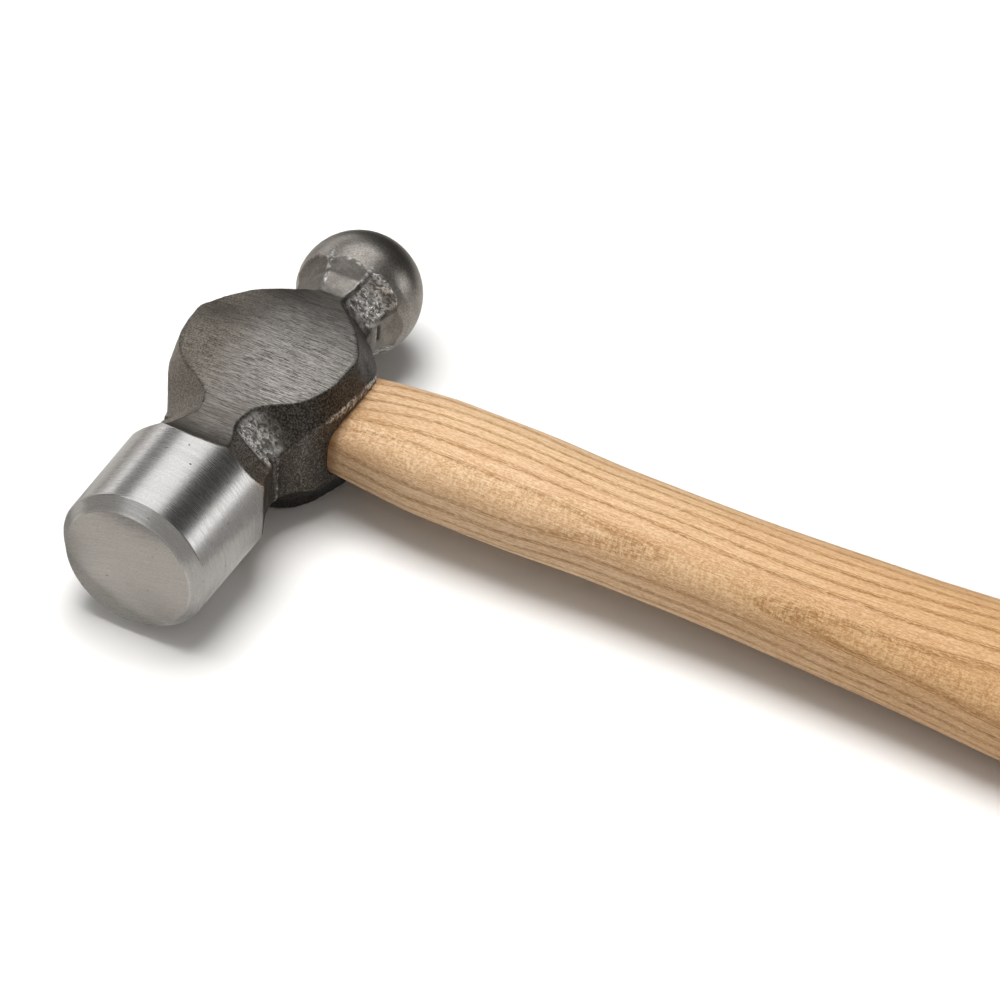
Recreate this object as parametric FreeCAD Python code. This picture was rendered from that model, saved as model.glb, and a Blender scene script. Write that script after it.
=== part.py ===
"""Ball peen hammer: one-pound forged head on a turned wooden handle held by three wedges.

The hammer lies on its side. Before it is laid down it is drawn about the centre of the eye:
+X runs along the handle towards the butt, the head runs along Y with the striking face at -Y
and the ball peen at +Y, and +Z is square to the upper cheek. Laying it down tips it by a
fraction of a degree, because the head is thicker than the grip. All sizes are in millimetres.
"""
import FreeCAD
import Part

import math
import os

# Poll, the round end with the striking face
FACE_Y = -55.0
FACE_RADIUS = 12.7
BEVEL_LENGTH = 2.65
POLL_FRONT_RADIUS = 14.75
POLL_REAR_RADIUS = 15.1
POLL_REAR_Y = -28.0

# Ball peen
BALL_CENTRE_Y = 33.5
BALL_RADIUS = 12.4
BALL_BAND_Y = 31.2
BALL_RIM_Y = 28.6
BALL_RIM_RADIUS = 11.4

# Height of a cheek above the head's centre plane, at the eye
CHEEK_HEIGHT = 15.3

# Forged middle of the head. Each station along the head is an eight-sided section:
# (place along the head, cheek half-width, cheek height, side reach, side half-height)
FORGED_STATIONS = [
    (-34.0, 8.5, 17.0, 17.0, 7.5),  # inside the ground poll
    (-31.0, 6.9, 13.8, 14.6, 6.6),  # corners of the poll's rear edge
    (-28.5, 6.1, 12.4, 13.5, 6.0),
    (-25.0, 5.3, 11.8, 12.2, 5.2),
    (-21.5, 4.0, 11.9, 11.9, 4.9),  # narrowest part of the poll neck
    (-18.5, 4.8, 12.6, 12.5, 5.5),
    (-16.0, 8.0, 13.3, 13.7, 6.3),  # scoops open out into the cheeks
    (-14.0, 11.6, 13.8, 15.1, 7.7),
    (-11.0, 14.4, 14.5, 16.6, 8.6),
    (-7.0, 16.0, 15.0, 17.7, 8.5),
    (0.0, 16.5, CHEEK_HEIGHT, 18.2, 8.0),  # eye centre, the widest place
    (5.0, 14.4, 14.9, 18.0, 7.0),
    (10.0, 10.8, 14.0, 16.3, 5.8),
    (14.0, 7.2, 12.7, 13.0, 6.1),
    (18.0, 3.9, 11.0, 9.9, 4.4),
    (22.0, 2.6, 8.9, 8.8, 3.1),  # narrowest part of the peen neck
    (26.0, 3.3, 9.1, 9.5, 3.5),
    (29.0, 4.1, 11.0, 11.2, 4.3),
    (33.0, 6.5, 16.0, 16.0, 6.5),  # outside the ball
]

# Eye through the head and the tenon that fills it: (place along X, half-width in Y, half-height in Z)
EYE_SECTIONS = [(-20.0, 11.4, 7.9), (-2.0, 9.9, 6.3), (16.0, 10.3, 6.6)]
EYE_SQUARENESS = 3.3

# Relief at the mouth of the eye, which leaves a thin gap around the wood
MOUTH_SECTIONS = [(14.0, 10.2, 6.5), (20.0, 11.0, 7.45)]

# End of the tenon, just below the far side of the head
TENON_END_X = -17.9

# Half the thickness of the grip where it is fullest
GRIP_HALF_HEIGHT = 12.6

# Handle beyond the tenon: (place along X, half-width in Y, half-height in Z, squareness)
HANDLE_SECTIONS = [
    (16.0, 10.3, 6.6, 3.3),  # leaves the eye
    (24.0, 11.0, 7.7, 3.0),
    (36.0, 12.0, 8.9, 2.7),
    (52.0, 12.3, 9.4, 2.5),  # swell behind the head
    (90.0, 11.9, 9.8, 2.4),  # waist
    (125.0, 12.3, 10.3, 2.4),
    (165.0, 14.2, 11.6, 2.4),
    (215.0, 16.0, 12.5, 2.4),
    (265.0, 16.3, GRIP_HALF_HEIGHT, 2.4),  # fullest part of the grip
    (315.0, 15.3, 11.9, 2.4),  # start of the butt's rounded edge
]
HANDLE_SECTION_COUNT = 30
BUTT_ROUNDING = 3.0
BUTT_SECTION_COUNT = 5
GRIP_REST_X = 262.0
SECTION_POINTS = 32

# Saw kerf in the tenon and the hardwood wedge driven into it
KERF_END_X = 9.0
KERF_THICKNESS = 1.2
WOOD_WEDGE_TIP_X = 5.0
WOOD_WEDGE_TOP_THICKNESS = 3.6

# Two steel wedges driven across the hardwood one
STEEL_WEDGE_SPACING = 9.0
STEEL_WEDGE_WIDTH = 9.0
STEEL_WEDGE_DEPTH = 13.0
STEEL_WEDGE_TOP_THICKNESS = 2.4
STEEL_WEDGE_TIP_THICKNESS = 0.6

# Lying down, the edge of the lower cheek and the grip touch the ground
CHEEK_EDGE_X = 16.4

V = FreeCAD.Vector


def revolve_about_head(profile):
    """Turn a closed (radius, y) outline about the head's axis."""
    points = [V(radius, y, 0) for radius, y in profile]
    face = Part.Face(Part.makePolygon(points + points[:1]))
    return face.revolve(V(0, 0, 0), V(0, 1, 0), 360)


def forged_section(y, cheek_half, cheek_z, side_x, side_half):
    """Eight-sided section: two cheeks, two sides and four scoops between them."""
    quarter = [(cheek_half, cheek_z), (side_x, side_half)]
    corners = quarter + [(x, -z) for x, z in reversed(quarter)]
    corners += [(-x, -z) for x, z in quarter] + [(-x, z) for x, z in reversed(quarter)]
    points = [V(x, y, z) for x, z in corners]
    return Part.makePolygon(points + points[:1])


def make_poll():
    """Striking face, bevel and the slightly tapered barrel, ending inside the forged middle."""
    first_y = FORGED_STATIONS[0][0]
    taper = (POLL_REAR_RADIUS - POLL_FRONT_RADIUS) / (POLL_REAR_Y - FACE_Y - BEVEL_LENGTH)
    bevel_y = FACE_Y + BEVEL_LENGTH
    first_radius = POLL_FRONT_RADIUS + taper * (first_y - bevel_y)
    front = revolve_about_head([
        (0, FACE_Y), (FACE_RADIUS, FACE_Y), (POLL_FRONT_RADIUS, bevel_y),
        (first_radius, first_y), (0, first_y)])
    rear = revolve_about_head([
        (0, first_y), (first_radius, first_y), (POLL_REAR_RADIUS, POLL_REAR_Y), (0, POLL_REAR_Y)])
    return front, rear


def make_ball():
    """Ball with a short band and a chamfered rim on the neck side."""
    sphere = Part.makeSphere(BALL_RADIUS, V(0, BALL_CENTRE_Y, 0), V(0, 1, 0))
    band_radius = math.sqrt(BALL_RADIUS ** 2 - (BALL_BAND_Y - BALL_CENTRE_Y) ** 2)
    front_cut = Part.makeBox(60, 60, 60, V(-30, BALL_BAND_Y - 60, -30))
    rim = revolve_about_head([
        (0, BALL_RIM_Y), (BALL_RIM_RADIUS, BALL_RIM_Y), (band_radius, BALL_BAND_Y), (0, BALL_BAND_Y)])
    return sphere.cut(front_cut).fuse(rim)


def make_head_blank():
    """Forged middle trimmed by the round poll and ball."""
    forged = Part.makeLoft([forged_section(*station) for station in FORGED_STATIONS], True)
    last_y = FORGED_STATIONS[-1][0]
    poll_front, poll_rear = make_poll()
    ball = make_ball()
    ball_back = ball.cut(Part.makeBox(60, 60, 60, V(-30, last_y - 60, -30)))
    ball_front = ball.common(Part.makeBox(60, 60, 60, V(-30, last_y - 60, -30)))
    middle_length = BALL_RIM_Y - POLL_REAR_Y
    middle = Part.makeBox(60, middle_length, 60, V(-30, POLL_REAR_Y, -30))
    limits = middle.fuse([poll_rear, ball_front])
    return forged.common(limits).fuse([poll_front, ball_back]).removeSplitter()


def oval_wire(x, half_y, half_z, squareness):
    """Rounded section across the handle; a higher squareness gives flatter sides."""
    points = []
    for index in range(SECTION_POINTS):
        angle = 2 * math.pi * index / SECTION_POINTS
        c, s = math.cos(angle), math.sin(angle)
        y = half_y * math.copysign(abs(c) ** (2 / squareness), c)
        z = half_z * math.copysign(abs(s) ** (2 / squareness), s)
        points.append(V(x, y, z))
    curve = Part.BSplineCurve()
    curve.interpolate(points, PeriodicFlag=True)
    return Part.Wire([curve.toShape()])


def eye_loft(sections):
    """Solid through rounded sections of the eye's shape."""
    return Part.makeLoft([oval_wire(x, y, z, EYE_SQUARENESS) for x, y, z in sections], True)


def handle_wires():
    """Evenly spaced sections on smooth curves through the stated ones."""
    places = [section[0] for section in HANDLE_SECTIONS]
    shape_curve = Part.BSplineCurve()
    shape_curve.interpolate(Points=[V(*section[1:]) for section in HANDLE_SECTIONS], Parameters=places)
    count = HANDLE_SECTION_COUNT
    span = places[-1] - places[0]
    wires = []
    for index in range(count + 1):
        x = places[0] + span * index / count
        size = shape_curve.value(x)
        wires.append(oval_wire(x, size.x, size.y, size.z))
    return wires


def butt_wires():
    """Sections around the rounded edge, ending at the flat of the butt."""
    x, half_y, half_z, squareness = HANDLE_SECTIONS[-1]
    wires = []
    for index in range(BUTT_SECTION_COUNT + 1):
        angle = math.pi / 2 * index / BUTT_SECTION_COUNT
        inset = BUTT_ROUNDING * (1 - math.cos(angle))
        reach = BUTT_ROUNDING * math.sin(angle)
        wires.append(oval_wire(x + reach, half_y - inset, half_z - inset, squareness))
    return wires


def make_handle_blank():
    """Tenon and handle in one piece, before the kerf and wedges."""
    end_box = Part.makeBox(40, 60, 60, V(TENON_END_X - 40, -30, -30))
    tenon = eye_loft(EYE_SECTIONS).cut(end_box)
    grip = Part.makeLoft(handle_wires(), True)
    butt = Part.makeLoft(butt_wires(), True)
    return tenon.fuse([grip, butt]).removeSplitter()


def wedge_plate(outline, plane, width):
    """Solid from an (x, thickness) outline, as wide as stated across the other direction."""
    if plane == "wood":
        points = [V(x, -width / 2, t) for x, t in outline]
        direction = V(0, width, 0)
    else:
        points = [V(x, t, -width / 2) for x, t in outline]
        direction = V(0, 0, width)
    return Part.Face(Part.makePolygon(points + points[:1])).extrude(direction)


def make_wood_wedge_blank():
    """Tapered plate along the head's axis, trimmed to the tenon outline."""
    top, tip = WOOD_WEDGE_TOP_THICKNESS / 2, KERF_THICKNESS / 2
    outline = [(TENON_END_X, -top), (TENON_END_X, top), (WOOD_WEDGE_TIP_X, tip), (WOOD_WEDGE_TIP_X, -tip)]
    return wedge_plate(outline, "wood", 40).common(eye_loft(EYE_SECTIONS))


def make_kerf():
    """Saw cut that carries on past the tip of the hardwood wedge."""
    half = KERF_THICKNESS / 2
    return Part.makeBox(KERF_END_X - WOOD_WEDGE_TIP_X, 40, 2 * half, V(WOOD_WEDGE_TIP_X, -20, -half))


def make_steel_wedge(y):
    """Small tapered plate driven in square to the hardwood wedge."""
    top, tip = STEEL_WEDGE_TOP_THICKNESS / 2, STEEL_WEDGE_TIP_THICKNESS / 2
    end_x = TENON_END_X + STEEL_WEDGE_DEPTH
    outline = [(TENON_END_X, y - top), (TENON_END_X, y + top), (end_x, y + tip), (end_x, y - tip)]
    return wedge_plate(outline, "steel", STEEL_WEDGE_WIDTH)


def make_pieces():
    """Every separate piece, drawn about the centre of the eye."""
    steel_a = make_steel_wedge(-STEEL_WEDGE_SPACING / 2)
    steel_b = make_steel_wedge(STEEL_WEDGE_SPACING / 2)
    wood_wedge = make_wood_wedge_blank()
    handle = make_handle_blank().cut([wood_wedge, make_kerf(), steel_a, steel_b])
    return {
        "head": make_head_blank().cut([eye_loft(EYE_SECTIONS), eye_loft(MOUTH_SECTIONS)]),
        "handle": handle,
        "wood_wedge": wood_wedge.cut([steel_a, steel_b]),
        "steel_wedge_a": steel_a,
        "steel_wedge_b": steel_b,
    }


def lay_down(pieces):
    """Tip the hammer onto cheek and grip, then centre it over the origin."""
    drop = CHEEK_HEIGHT - GRIP_HALF_HEIGHT
    tip_angle = math.degrees(math.atan2(drop, GRIP_REST_X - CHEEK_EDGE_X))
    for shape in pieces.values():
        shape.rotate(V(0, 0, 0), V(0, 1, 0), tip_angle)
    box = Part.makeCompound(list(pieces.values())).optimalBoundingBox(False)
    offset = V(-box.Center.x, -box.Center.y, -box.ZMin)
    for shape in pieces.values():
        shape.translate(offset)


def main():
    pieces = make_pieces()
    lay_down(pieces)
    os.makedirs("parts", exist_ok=True)
    for name, shape in pieces.items():
        shape.Solids[0].exportStep("parts/%s.step" % name)


main()
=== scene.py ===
"""Looks of the ball peen hammer: forged and ground steel head, ash handle, wedges.

Shapes are drawn in millimetres about the centre of the eye, as the CAD source draws them: +X runs
along the handle, the striking face is at -Y, the ball at +Y, and one cheek is up at +Z. Each
piece's own transform then lays it down in the row frame, so a material's object coordinates stay
in the drawing's axes. Angles round the head start at the handle's side and go up over the top.
"""
import itertools
import math
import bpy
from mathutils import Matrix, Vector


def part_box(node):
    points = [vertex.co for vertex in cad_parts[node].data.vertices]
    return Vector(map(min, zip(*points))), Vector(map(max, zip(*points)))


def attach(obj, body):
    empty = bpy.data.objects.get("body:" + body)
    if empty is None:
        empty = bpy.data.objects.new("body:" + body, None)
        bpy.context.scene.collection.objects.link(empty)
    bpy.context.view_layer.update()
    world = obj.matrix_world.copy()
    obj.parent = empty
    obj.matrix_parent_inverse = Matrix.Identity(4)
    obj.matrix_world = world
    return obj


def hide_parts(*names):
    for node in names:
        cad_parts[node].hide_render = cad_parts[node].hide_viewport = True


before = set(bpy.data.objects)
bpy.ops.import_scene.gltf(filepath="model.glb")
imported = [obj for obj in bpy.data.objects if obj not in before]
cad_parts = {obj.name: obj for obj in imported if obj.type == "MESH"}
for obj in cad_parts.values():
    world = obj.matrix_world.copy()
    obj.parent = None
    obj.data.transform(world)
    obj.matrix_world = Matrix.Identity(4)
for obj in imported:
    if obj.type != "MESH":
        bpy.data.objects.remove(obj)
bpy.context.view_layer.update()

from types import SimpleNamespace

import bmesh
import bpy
import numpy as np
from mathutils import Matrix, Vector

MM = 0.001

# ---------------- sizes
# These are the CAD source's, apart from HANDLE_SECTIONS, which differ by up to 0.9 mm beyond 36 mm
# from the eye, and EYE_MOUTH_SECTIONS, which differ by under 0.2 mm.
FACE_Y = -55.0
FACE_RADIUS = 12.7
BEVEL_Y = -52.35
POLL_FRONT_RADIUS = 14.75
POLL_REAR_Y = -28.0
POLL_REAR_RADIUS = 15.1
BALL_CENTRE_Y = 33.5
BALL_RADIUS = 12.4
BALL_TIP_Y = BALL_CENTRE_Y + BALL_RADIUS
BALL_BAND_Y = 31.2
BALL_BAND_RADIUS = 12.18
BALL_RIM_Y = 28.6
BALL_RIM_RADIUS = 11.4
CHEEK_HEIGHT = 15.3
GRIP_HALF_HEIGHT = 12.6
GRIP_REST_X = 262.0
CHEEK_EDGE_X = 16.4
TENON_END_X = -17.9
CLEAR = 60.0  # a radius so large that it limits nothing
TINY = 1e-6

# place along the head, cheek half-width, cheek height, side reach, side half-height
FORGED_STATIONS = [
    (-34.0, 8.5, 17.0, 17.0, 7.5),
    (-31.0, 6.9, 13.8, 14.6, 6.6),
    (-28.5, 6.1, 12.4, 13.5, 6.0),
    (-25.0, 5.3, 11.8, 12.2, 5.2),
    (-21.5, 4.0, 11.9, 11.9, 4.9),
    (-18.5, 4.8, 12.6, 12.5, 5.5),
    (-16.0, 8.0, 13.3, 13.7, 6.3),
    (-14.0, 11.6, 13.8, 15.1, 7.7),
    (-11.0, 14.4, 14.5, 16.6, 8.6),
    (-7.0, 16.0, 15.0, 17.7, 8.5),
    (0.0, 16.5, CHEEK_HEIGHT, 18.2, 8.0),
    (5.0, 14.4, 14.9, 18.0, 7.0),
    (10.0, 10.8, 14.0, 16.3, 5.8),
    (14.0, 7.2, 12.7, 13.0, 6.1),
    (18.0, 3.9, 11.0, 9.9, 4.4),
    (22.0, 2.6, 8.9, 8.8, 3.1),
    (26.0, 3.3, 9.1, 9.5, 3.5),
    (29.0, 4.1, 11.0, 11.2, 4.3),
    (33.0, 6.5, 16.0, 16.0, 6.5),
]

# place along X, half-width in Y, half-height in Z
EYE_SECTIONS = [(-20.0, 11.4, 7.9), (-2.0, 9.9, 6.3), (16.0, 10.3, 6.6)]
EYE_MOUTH_SECTIONS = [(16.4, 10.35, 6.75), (20.0, 11.05, 7.5), (26.0, 12.6, 9.4)]
EYE_SQUARENESS = 3.3

# place along X, half-width in Y, half-height in Z, squareness
HANDLE_SECTIONS = [
    (TENON_END_X, 11.2, 7.7, 3.3),
    (-2.0, 9.85, 6.25, 3.3),
    (16.0, 10.3, 6.6, 3.3),
    (24.0, 11.0, 7.7, 3.0),
    (36.0, 12.0, 8.9, 2.7),
    (52.0, 12.1, 9.3, 2.5),
    (72.0, 11.45, 9.2, 2.4),
    (90.0, 11.4, 9.4, 2.4),
    (125.0, 12.5, 10.4, 2.4),
    (165.0, 15.1, 11.9, 2.4),
    (215.0, 16.2, 12.5, 2.4),
    (265.0, 16.3, GRIP_HALF_HEIGHT, 2.4),
    (315.0, 15.3, 11.9, 2.4),
]
BUTT_ROUNDING = 3.0

KERF_END_X = 9.0
KERF_THICKNESS = 1.2
WOOD_WEDGE_TIP_X = 5.0
WOOD_WEDGE_TOP_THICKNESS = 3.6
STEEL_WEDGE_SPACING = 9.0
STEEL_WEDGE_WIDTH = 9.0
STEEL_WEDGE_DEPTH = 13.0
STEEL_WEDGE_TOP_THICKNESS = 2.4
STEEL_WEDGE_TIP_THICKNESS = 0.6


# ---------------- placing and small helpers
def laid_down():
    """Transform from the drawing, in metres, to the row frame, matched to a steel wedge's box."""
    tip = math.atan2(CHEEK_HEIGHT - GRIP_HALF_HEIGHT, GRIP_REST_X - CHEEK_EDGE_X)
    turn = Matrix.Rotation(tip, 4, "Y")
    low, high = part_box("steel_wedge_a")
    centre = turn @ Vector((TENON_END_X + STEEL_WEDGE_DEPTH / 2, -STEEL_WEDGE_SPACING / 2, 0)) * MM
    offset = (low + high) / 2 - centre
    return Matrix.Translation(offset) @ turn


LAY_DOWN = laid_down()
HEAD_PLACE = LAY_DOWN @ Vector((0, 0, 0))


def smooth_curve(knots, values, at):
    """Monotone cubic through the knots: smooth, and never past a stated value."""
    knots, values, at = (np.asarray(a, float) for a in (knots, values, at))
    steps = np.diff(knots)
    slopes = np.diff(values) / steps
    bends = np.zeros(len(knots))
    bends[0], bends[-1] = slopes[0], slopes[-1]
    for i in range(1, len(knots) - 1):
        if slopes[i - 1] * slopes[i] > 0:
            before, after = 2 * steps[i] + steps[i - 1], steps[i] + 2 * steps[i - 1]
            bends[i] = (before + after) / (before / slopes[i - 1] + after / slopes[i])
    i = np.clip(np.searchsorted(knots, at) - 1, 0, len(steps) - 1)
    t = np.clip((at - knots[i]) / steps[i], 0, 1)
    return ((2 * t**3 - 3 * t**2 + 1) * values[i] + (t**3 - 2 * t**2 + t) * steps[i] * bends[i]
            + (-2 * t**3 + 3 * t**2) * values[i + 1] + (t**3 - t**2) * steps[i] * bends[i + 1])


def smooth_min(a, b, width):
    """Smaller of two surfaces, with the edge between them rounded."""
    h = np.clip(0.5 + 0.5 * (b - a) / width, 0, 1)
    return b * (1 - h) + a * h - width * h * (1 - h)


def bump_at(value, centre, half_width):
    """One at the centre, falling smoothly to nothing at half_width away."""
    t = np.clip(1 - np.abs(value - centre) / half_width, 0, 1)
    return t * t * (3 - 2 * t)


def ramp(value, start, end):
    """Smooth step from nothing at start to one at end."""
    t = np.clip((value - start) / (end - start), 0, 1)
    return t * t * (3 - 2 * t)


def lattice_noise(points, size, seed):
    """Smooth noise between -1 and 1 with lumps of about the given size."""
    rng = np.random.default_rng(seed)
    count = 64
    table = rng.uniform(-1, 1, (count, count, count))
    scaled = np.asarray(points) / size
    cell = np.floor(scaled).astype(int)
    t = scaled - cell
    t = t * t * (3 - 2 * t)
    total = 0
    for corner in itertools.product((0, 1), repeat=3):
        i, j, k = np.moveaxis((cell + corner) % count, -1, 0)
        weight = np.prod(np.where(corner, t, 1 - t), axis=-1)
        total = total + table[i, j, k] * weight
    return total


def in_scene(name, data):
    """New object in the scene, for a mesh, a lamp or a camera."""
    made = bpy.data.objects.new(name, data)
    bpy.context.scene.collection.objects.link(made)
    return made


def new_object(name, vertices, faces, smooth=True):
    """Mesh object from points in millimetres about the eye, laid down in the row frame."""
    mesh = bpy.data.meshes.new(name)
    mesh.from_pydata((np.asarray(vertices) * MM).tolist(), [], faces)
    mesh.validate()
    skin = bmesh.new()
    skin.from_mesh(mesh)
    bmesh.ops.recalc_face_normals(skin, faces=skin.faces)
    skin.to_mesh(mesh)
    skin.free()
    mesh.polygons.foreach_set("use_smooth", [smooth] * len(mesh.polygons))
    piece = in_scene(name, mesh)
    piece.matrix_world = LAY_DOWN
    return piece


def read_points(piece):
    """The piece's points, in the drawing's millimetres."""
    flat = np.empty(len(piece.data.vertices) * 3)
    piece.data.vertices.foreach_get("co", flat)
    return flat.reshape(-1, 3) / MM


def write_points(piece, points):
    """Move the piece's points to places given in the drawing's millimetres."""
    piece.data.vertices.foreach_set("co", (points * MM).ravel())


def grid_faces(rows, columns):
    """Quads of a tube of rings, and a fan to one point at each end; those two points come last."""
    i, j = np.meshgrid(np.arange(rows - 1), np.arange(columns), indexing="ij")
    k = (j + 1) % columns
    quads = np.stack([i * columns + j, i * columns + k,
                      (i + 1) * columns + k, (i + 1) * columns + j], -1)
    faces = quads.reshape(-1, 4).tolist()
    first, last = rows * columns, rows * columns + 1
    end = (rows - 1) * columns
    faces += [(first, (c + 1) % columns, c) for c in range(columns)]
    faces += [(last, end + c, end + (c + 1) % columns) for c in range(columns)]
    return faces


def set_attribute(mesh, name, values):
    """Store one number per point, for materials to read."""
    layer = mesh.attributes.new(name, "FLOAT", "POINT")
    layer.data.foreach_set("value", np.asarray(values, np.float32).ravel())


def cut_with(piece, cutter):
    """Take the cutter's shape out of the piece, for good."""
    tool = piece.modifiers.new("cut", "BOOLEAN")
    tool.operation = "DIFFERENCE"
    tool.solver = "MANIFOLD"
    tool.object = cutter
    graph = bpy.context.evaluated_depsgraph_get()
    made = bpy.data.meshes.new_from_object(piece.evaluated_get(graph))
    piece.modifiers.clear()
    piece.data = made
    bpy.data.objects.remove(cutter)


# ---------------- the head's shape
def turned_radius(y):
    """Radius of the ground round parts along the head; CLEAR between them."""
    poll = np.interp(y, [FACE_Y, BEVEL_Y, POLL_REAR_Y, POLL_REAR_Y + 0.4, POLL_REAR_Y + 4],
                     [FACE_RADIUS, POLL_FRONT_RADIUS, POLL_REAR_RADIUS, POLL_REAR_RADIUS + 1, CLEAR])
    ball = np.sqrt(np.maximum(BALL_RADIUS**2 - (y - BALL_CENTRE_Y) ** 2, 0))
    rim = np.interp(y, [18.6, BALL_RIM_Y, BALL_BAND_Y], [CLEAR, BALL_RIM_RADIUS, BALL_BAND_RADIUS])
    return np.where(y < 0, poll, np.where(y < BALL_BAND_Y, rim, ball))


def forged_size(column, y):
    """One of the sizes in FORGED_STATIONS at places along the head."""
    table = np.array(FORGED_STATIONS)
    return smooth_curve(table[:, 0], table[:, column], y)


def forged_planes(y, theta):
    """Distance out to the cheek, the side and the scoop between them, in each direction."""
    half, height, reach, side = (forged_size(column, y) for column in (1, 2, 3, 4))
    c, s = np.abs(np.cos(theta)) + TINY, np.abs(np.sin(theta)) + TINY
    normal_x, normal_z = height - side, reach - half
    offset = normal_x * half + normal_z * height
    return height / s, reach / c, offset / (normal_x * c + normal_z * s)


def head_rows():
    """Places along the head: close together where the shape turns quickly."""
    bevel = 0.22
    poll = np.concatenate([
        [FACE_Y, FACE_Y + 0.12], np.linspace(FACE_Y + 0.3, BEVEL_Y - bevel, 8), [BEVEL_Y],
        np.linspace(BEVEL_Y + bevel, POLL_REAR_Y - 5.2, 26)])
    middle = np.arange(POLL_REAR_Y - 5.0, BALL_BAND_Y + 0.6, 0.29)
    tip_angle = np.linspace(math.acos(-1.7 / BALL_RADIUS), 0.035, 46)
    ball = BALL_CENTRE_Y + BALL_RADIUS * np.cos(tip_angle)
    return np.concatenate([poll, middle, ball[ball > middle[-1] + 0.1]])


HEAD_COLUMNS = 300
CHEEK_CROWN_RADIUS = 95.0  # the far half of each cheek falls away a little
SHOULDER_DROP = 1.3  # and more so at its shoulder on the ball's side
UNDERCUT = 3.0  # the edge that lies in shadow under the handle's side is dressed back further
VALLEY_Y, VALLEY_DEPTH, VALLEY_REACH = -23.8, 0.45, 3.6  # hollow across the scoops behind the poll
# creases where two dressed strokes met: place along the head, half-width, depth
POLL_CREASE = (VALLEY_Y, 0.5, 0.10)
SIDE_CREASE = (-21.6, 0.45, 0.55)
BALL_CREASE = (18.4, 0.6, 0.25)
BALL_SLOT = (24.3, 0.55, 1.1)
BURR_HEIGHT = 0.34
# softness of the edge between cheek and side, of the scoops' edges, and of the ground parts' edges
RIDGE_SOFTNESS, SCOOP_SOFTNESS, GROUND_SOFTNESS = 0.45, 0.40, 0.12
PLAIN_TIP_RADIUS = 9.5  # the ball's tip inside this radius is left exactly round
MARK_LIMIT = 3.0  # millimetres beyond which a stored distance says nothing more


def towards_handle(theta):
    """One on the half of the head that faces the handle."""
    return ramp(np.cos(theta), 0.1, 0.45)


def above(theta):
    """One on the upper half of the head."""
    return ramp(np.sin(theta), 0.0, 0.1)


def on_side(theta):
    """One on the two flat sides."""
    return ramp(np.abs(np.cos(theta)), 0.80, 0.93)


def in_slot(theta):
    """One along the slot beside the ball, on the handle's side."""
    up = np.sin(theta)
    return (np.cos(theta) > 0) * ramp(up, -0.14, -0.02) * (1 - ramp(up, 0.24, 0.34))


def dressed_planes(y, theta):
    """The forged planes, dressed back at the far shoulder, at the shadowed edge and at the poll."""
    cheek, side, scoop = forged_planes(y, theta)
    across = cheek * np.cos(theta)
    upper = np.sin(theta)
    on_top = ramp(np.abs(upper), 0.4, 0.7)
    cheek = cheek - np.maximum(-across - 2.0, 0) ** 2 / (2 * CHEEK_CROWN_RADIUS) * on_top
    cheek = cheek - SHOULDER_DROP * ramp(-across, 5.0, 14.0) * bump_at(y, 4.5, 9.5) * on_top
    below = ramp(-upper, 0.25, 0.80) * towards_handle(theta)
    scoop = scoop - UNDERCUT * below * bump_at(y, -9.0, 14.0)
    scoop = scoop - VALLEY_DEPTH * np.maximum(1 - np.abs(y - VALLEY_Y) / VALLEY_REACH, 0)
    return cheek, side, scoop


def with_creases(forged, y, theta, on_scoop):
    """The skin with creases where two dressed strokes met, and how far each point is in one: behind
    the poll, up both its sides, before the ball, and in the slot beside the ball."""
    creased = 0
    waving = y + 0.4 * np.sin(6 * theta)
    for (place, half_width, depth), along, where in (
        (POLL_CREASE, y, on_scoop), (SIDE_CREASE, waving, on_side(theta)),
        (BALL_CREASE, y, on_scoop), (BALL_SLOT, y, in_slot(theta)),
    ):
        crease = bump_at(along, place, half_width) * where
        forged = forged - depth * crease
        creased = creased + crease
    return forged, creased


def burrs(points, y, theta, ridge_cheek, ridge_side, off_cheek, off_ground):
    """How much burr stands up along the ridges, beside the creases and at the ball, where grinding
    pushed the scale over. The last two are how far the scoop lies under the cheek, and how far the
    forged skin stands out of the ground ball."""
    mouth = ridge_side * towards_handle(theta) * above(theta) * ramp(y, -13.0, -8.5)
    mouth = mouth * (1 - ramp(y, 6.0, 11.0))
    mouth = mouth + 0.7 * ridge_cheek * towards_handle(theta) * above(theta) * bump_at(y, -5.0, 5.5)
    ball = bump_at(off_cheek, 0.1, 0.75) * above(theta) * ramp(y, 22.5, 25.0)
    rim = bump_at(off_ground, -0.1, 0.45) * ramp(np.sin(theta), 0.45, 0.75) * ramp(y, 20.0, 24.0)
    crease = bump_at(y, -20.7, 0.5) * on_side(theta) + 1.4 * bump_at(y, 23.5, 0.45) * in_slot(theta)
    patch = ramp(lattice_noise(points, 2.6, 7), -0.25, 0.35)
    fine = 0.5 + 0.5 * lattice_noise(points, 0.6, 8)
    always = (mouth + ball + 0.8 * rim + 0.7 * crease) * (0.6 + 0.4 * patch)
    return (always + 0.25 * (ridge_cheek + ridge_side) * patch) * fine


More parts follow.
